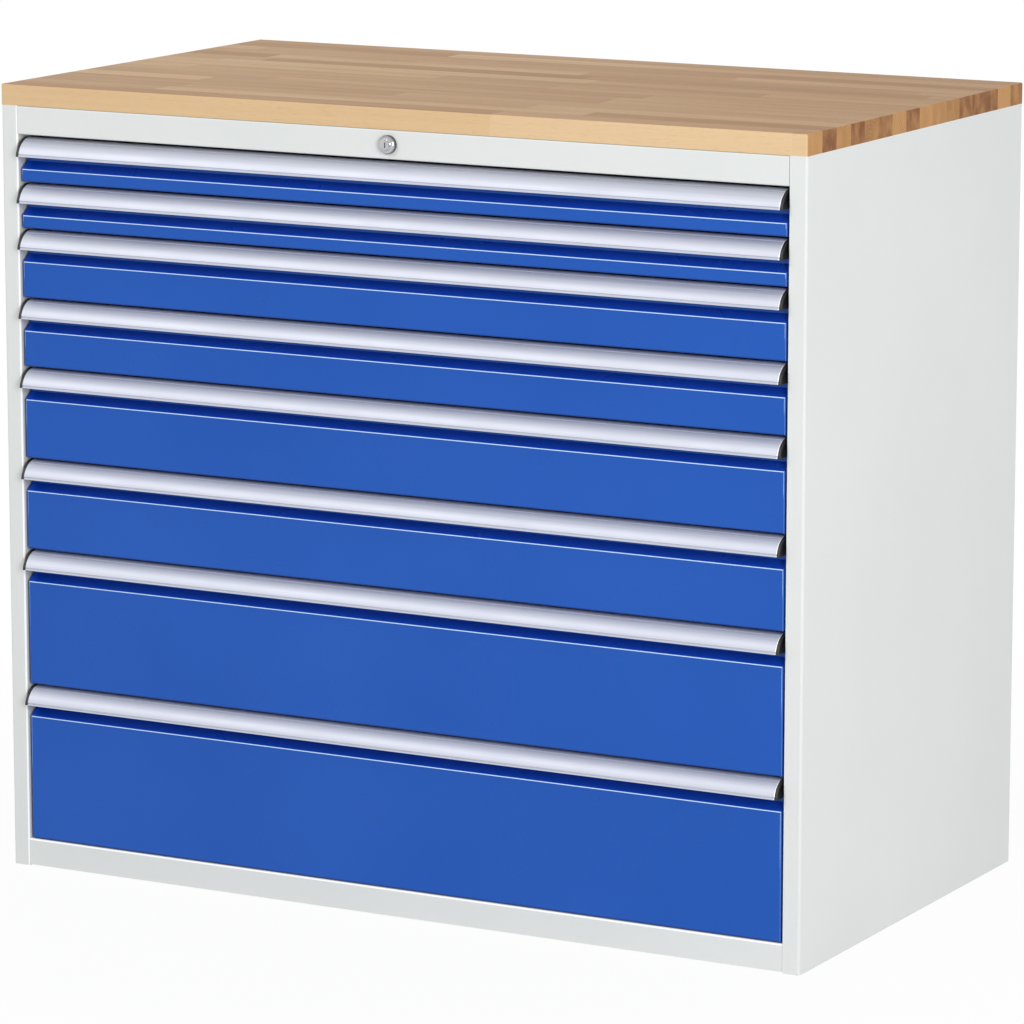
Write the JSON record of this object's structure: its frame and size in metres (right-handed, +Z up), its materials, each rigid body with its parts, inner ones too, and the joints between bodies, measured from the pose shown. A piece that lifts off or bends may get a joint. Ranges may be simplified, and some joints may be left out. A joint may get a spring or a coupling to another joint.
{
  "type": "drawer cabinet",
  "caption": "Free-standing steel workshop cabinet: full-extension drawers with folded fronts and curved grip rails, central lock, solid wood worktop.",
  "frame": {"origin": "middle of the footprint on the floor, grip rails included", "axes": "+Z up, the drawers open towards -Y, +X along the front to the right seen from it"},
  "size_m": [1.145, 0.6505, 1.03],
  "materials": {
    "beech": "oiled solid beech staves",
    "body_grey": "light grey powder coat",
    "front_blue": "gentian blue powder coat, semi-gloss",
    "tray_grey": "light grey powder coat",
    "grip_aluminium": "natural anodised extrusion",
    "cap_black": "black moulded plastic",
    "zinc_steel": "zinc-plated steel",
    "lock_chrome": "polished nickel-chrome",
    "lock_steel": "satin steel"
  },
  "bodies": {
    "cabinet": {"worktop": "beech", "worktop_screws": "zinc_steel", "side_panel_left": "body_grey", "side_panel_right": "body_grey", "top_panel": "body_grey", "base_panel": "body_grey", "back_panel": "body_grey", "runner_uprights": "zinc_steel", "cabinet_runners": "zinc_steel", "lock_barrel": "lock_chrome"},
    "lock_shaft": {"lock_shaft": "lock_steel"},
    "lock_bar": {"lock_bar": "zinc_steel"},
    "drawer_1": {"drawer_1_front": "front_blue", "drawer_1_grip": "grip_aluminium", "drawer_1_end_caps": "cap_black", "drawer_1_tray": "tray_grey", "drawer_1_runners": "zinc_steel"},
    "drawer_1_middle": {"drawer_1_middle_runners": "zinc_steel"},
    "drawer_2": {"drawer_2_front": "front_blue", "drawer_2_grip": "grip_aluminium", "drawer_2_end_caps": "cap_black", "drawer_2_tray": "tray_grey", "drawer_2_runners": "zinc_steel"},
    "drawer_2_middle": {"drawer_2_middle_runners": "zinc_steel"},
    "drawer_3": {"drawer_3_front": "front_blue", "drawer_3_grip": "grip_aluminium", "drawer_3_end_caps": "cap_black", "drawer_3_tray": "tray_grey", "drawer_3_runners": "zinc_steel"},
    "drawer_3_middle": {"drawer_3_middle_runners": "zinc_steel"},
    "drawer_4": {"drawer_4_front": "front_blue", "drawer_4_grip": "grip_aluminium", "drawer_4_end_caps": "cap_black", "drawer_4_tray": "tray_grey", "drawer_4_runners": "zinc_steel"},
    "drawer_4_middle": {"drawer_4_middle_runners": "zinc_steel"},
    "drawer_5": {"drawer_5_front": "front_blue", "drawer_5_grip": "grip_aluminium", "drawer_5_end_caps": "cap_black", "drawer_5_tray": "tray_grey", "drawer_5_runners": "zinc_steel"},
    "drawer_5_middle": {"drawer_5_middle_runners": "zinc_steel"},
    "drawer_6": {"drawer_6_front": "front_blue", "drawer_6_grip": "grip_aluminium", "drawer_6_end_caps": "cap_black", "drawer_6_tray": "tray_grey", "drawer_6_runners": "zinc_steel"},
    "drawer_6_middle": {"drawer_6_middle_runners": "zinc_steel"},
    "drawer_7": {"drawer_7_front": "front_blue", "drawer_7_grip": "grip_aluminium", "drawer_7_end_caps": "cap_black", "drawer_7_tray": "tray_grey", "drawer_7_runners": "zinc_steel"},
    "drawer_7_middle": {"drawer_7_middle_runners": "zinc_steel"},
    "drawer_8": {"drawer_8_front": "front_blue", "drawer_8_grip": "grip_aluminium", "drawer_8_end_caps": "cap_black", "drawer_8_tray": "tray_grey", "drawer_8_runners": "zinc_steel"},
    "drawer_8_middle": {"drawer_8_middle_runners": "zinc_steel"}
  },
  "joints": [
    {"name": "lock_turn", "type": "hinge", "parent": "cabinet", "child": "lock_shaft", "pos_m": [0, -0.31475, 0.9845], "axis": [0, -1, 0], "range_deg": [0, 90]},
    {"name": "lock_bar_slide", "type": "slide", "parent": "cabinet", "child": "lock_bar", "axis": [0, 0, 1], "range_m": [0, 0.01131]},
    {"name": "drawer_1_slide", "type": "slide", "parent": "cabinet", "child": "drawer_1", "axis": [0, -1, 0], "range_m": [0, 0.56]},
    {"name": "drawer_1_middle_slide", "type": "slide", "parent": "cabinet", "child": "drawer_1_middle", "axis": [0, -1, 0], "range_m": [0, 0.28]},
    {"name": "drawer_2_slide", "type": "slide", "parent": "cabinet", "child": "drawer_2", "axis": [0, -1, 0], "range_m": [0, 0.56]},
    {"name": "drawer_2_middle_slide", "type": "slide", "parent": "cabinet", "child": "drawer_2_middle", "axis": [0, -1, 0], "range_m": [0, 0.28]},
    {"name": "drawer_3_slide", "type": "slide", "parent": "cabinet", "child": "drawer_3", "axis": [0, -1, 0], "range_m": [0, 0.56]},
    {"name": "drawer_3_middle_slide", "type": "slide", "parent": "cabinet", "child": "drawer_3_middle", "axis": [0, -1, 0], "range_m": [0, 0.28]},
    {"name": "drawer_4_slide", "type": "slide", "parent": "cabinet", "child": "drawer_4", "axis": [0, -1, 0], "range_m": [0, 0.56]},
    {"name": "drawer_4_middle_slide", "type": "slide", "parent": "cabinet", "child": "drawer_4_middle", "axis": [0, -1, 0], "range_m": [0, 0.28]},
    {"name": "drawer_5_slide", "type": "slide", "parent": "cabinet", "child": "drawer_5", "axis": [0, -1, 0], "range_m": [0, 0.56]},
    {"name": "drawer_5_middle_slide", "type": "slide", "parent": "cabinet", "child": "drawer_5_middle", "axis": [0, -1, 0], "range_m": [0, 0.28]},
    {"name": "drawer_6_slide", "type": "slide", "parent": "cabinet", "child": "drawer_6", "axis": [0, -1, 0], "range_m": [0, 0.56]},
    {"name": "drawer_6_middle_slide", "type": "slide", "parent": "cabinet", "child": "drawer_6_middle", "axis": [0, -1, 0], "range_m": [0, 0.28]},
    {"name": "drawer_7_slide", "type": "slide", "parent": "cabinet", "child": "drawer_7", "axis": [0, -1, 0], "range_m": [0, 0.56]},
    {"name": "drawer_7_middle_slide", "type": "slide", "parent": "cabinet", "child": "drawer_7_middle", "axis": [0, -1, 0], "range_m": [0, 0.28]},
    {"name": "drawer_8_slide", "type": "slide", "parent": "cabinet", "child": "drawer_8", "axis": [0, -1, 0], "range_m": [0, 0.56]},
    {"name": "drawer_8_middle_slide", "type": "slide", "parent": "cabinet", "child": "drawer_8_middle", "axis": [0, -1, 0], "range_m": [0, 0.28]}
  ],
  "couplings": [
    {"joint": "lock_turn", "follows": "lock_bar_slide", "rad_per_m": 138.83},
    {"joint": "drawer_1_middle_slide", "follows": "drawer_1_slide", "ratio": 0.5},
    {"joint": "drawer_2_middle_slide", "follows": "drawer_2_slide", "ratio": 0.5},
    {"joint": "drawer_3_middle_slide", "follows": "drawer_3_slide", "ratio": 0.5},
    {"joint": "drawer_4_middle_slide", "follows": "drawer_4_slide", "ratio": 0.5},
    {"joint": "drawer_5_middle_slide", "follows": "drawer_5_slide", "ratio": 0.5},
    {"joint": "drawer_6_middle_slide", "follows": "drawer_6_slide", "ratio": 0.5},
    {"joint": "drawer_7_middle_slide", "follows": "drawer_7_slide", "ratio": 0.5},
    {"joint": "drawer_8_middle_slide", "follows": "drawer_8_slide", "ratio": 0.5}
  ]
}
